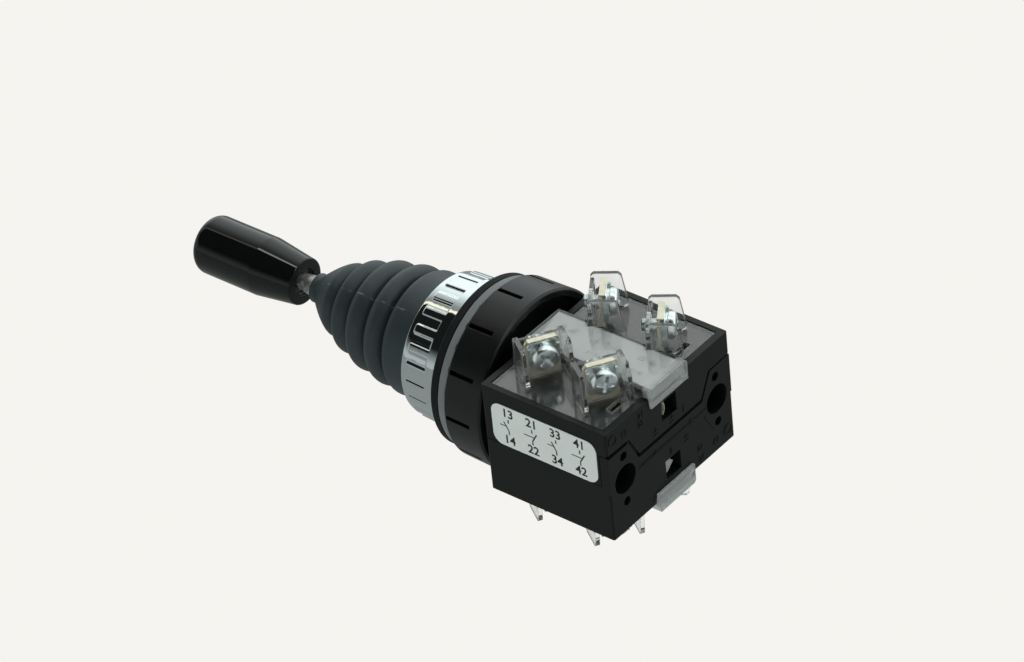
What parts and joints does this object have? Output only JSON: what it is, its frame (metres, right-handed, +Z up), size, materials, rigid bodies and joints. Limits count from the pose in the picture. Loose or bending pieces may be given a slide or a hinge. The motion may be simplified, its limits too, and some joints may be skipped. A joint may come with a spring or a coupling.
{
  "type": "panel joystick switch",
  "caption": "Two-axis spring-return panel joystick with a black grip, rubber bellows, bright bezel and a rear contact block with screw terminals.",
  "frame": {"origin": "on the lever axis, in the plane of the panel's front face, which is the rear face of the gasket", "axes": "+Y along the lever axis towards the contact block, +Z up, +X towards the rating label; the operator is on the -Y side"},
  "size_m": [0.0521, 0.1604, 0.056],
  "materials": {
    "grip_plastic": "polished black thermoset",
    "lever_steel": "turned satin steel",
    "brass": "dull plated brass",
    "zinc_plate": "bright zinc plate",
    "spring_steel": "drawn spring wire",
    "bellows_rubber": "matt dark grey rubber",
    "gasket_rubber": "matt black rubber",
    "chrome": "bright chrome plate",
    "black_metal": "satin black",
    "washer_grey": "satin mid grey",
    "nut_black": "satin black",
    "block_black": "satin black moulding",
    "label_face": "pale grey film",
    "label_card": "white card",
    "clear_plastic": "clear moulding",
    "inner_plastic": "moulded nylon",
    "plunger_plastic": "moulded acetal"
  },
  "bodies": {
    "housing": {"gimbal_pins": "lever_steel", "centering_spring": "spring_steel", "bellows": "bellows_rubber", "bezel_ring": "chrome", "mounting_body": "black_metal", "panel_gasket": "gasket_rubber", "anti_rotation_washer": "washer_grey", "locking_nut": "nut_black", "adapter_plate": "black_metal", "upper_block_half": "block_black", "lower_block_half": "block_black", "side_label": "label_face", "return_springs": "spring_steel", "block_fixing_screws": "zinc_plate", "upper_clear_cover": "clear_plastic", "upper_label_card": "label_card", "upper_terminal_strips": "brass", "upper_terminal_clamps": "zinc_plate", "upper_terminal_screws": "zinc_plate", "lower_clear_cover": "clear_plastic", "lower_label_card": "label_card", "lower_terminal_strips": "brass", "lower_terminal_clamps": "zinc_plate", "lower_terminal_screws": "zinc_plate"},
    "gimbal": {"gimbal_ring": "zinc_plate", "hub_pins": "lever_steel"},
    "lever": {"handle_grip": "grip_plastic", "grip_insert": "brass", "lever_rod": "lever_steel", "pivot_hub": "zinc_plate", "actuator_disc": "inner_plastic", "disc_nut": "zinc_plate"},
    "plunger_up": {"plunger_up": "plunger_plastic", "contact_bridge_up": "brass"},
    "plunger_down": {"plunger_down": "plunger_plastic", "contact_bridge_down": "brass"},
    "plunger_left": {"plunger_left": "plunger_plastic", "contact_bridge_left": "brass"},
    "plunger_right": {"plunger_right": "plunger_plastic", "contact_bridge_right": "brass"}
  },
  "joints": [
    {"name": "tilt_up_down", "type": "hinge", "parent": "housing", "child": "gimbal", "pos_m": [0, 0, 0], "axis": [1, 0, 0], "range_deg": [-15, 15], "stiffness_Nm_per_rad": 2, "deforming": ["bellows", "centering_spring", "return_springs"]},
    {"name": "tilt_left_right", "type": "hinge", "parent": "gimbal", "child": "lever", "pos_m": [0, 0, 0], "axis": [0, 0, 1], "range_deg": [-15, 15], "stiffness_Nm_per_rad": 2, "deforming": ["bellows", "centering_spring", "return_springs"]},
    {"name": "push_up", "type": "slide", "parent": "housing", "child": "plunger_up", "axis": [0, 1, 0], "range_m": [-0.0027, 0.0027], "stiffness_N_per_m": 200, "deforming": ["return_springs"]},
    {"name": "push_down", "type": "slide", "parent": "housing", "child": "plunger_down", "axis": [0, 1, 0], "range_m": [-0.0027, 0.0027], "stiffness_N_per_m": 200, "deforming": ["return_springs"]},
    {"name": "push_left", "type": "slide", "parent": "housing", "child": "plunger_left", "axis": [0, 1, 0], "range_m": [-0.0027, 0.0027], "stiffness_N_per_m": 200, "deforming": ["return_springs"]},
    {"name": "push_right", "type": "slide", "parent": "housing", "child": "plunger_right", "axis": [0, 1, 0], "range_m": [-0.0027, 0.0027], "stiffness_N_per_m": 200, "deforming": ["return_springs"]}
  ],
  "couplings": [
    {"joint": "push_up", "follows": "tilt_up_down", "m_per_rad": -0.01},
    {"joint": "push_down", "follows": "tilt_up_down", "m_per_rad": 0.01},
    {"joint": "push_left", "follows": "tilt_left_right", "m_per_rad": -0.01},
    {"joint": "push_right", "follows": "tilt_left_right", "m_per_rad": 0.01}
  ]
}
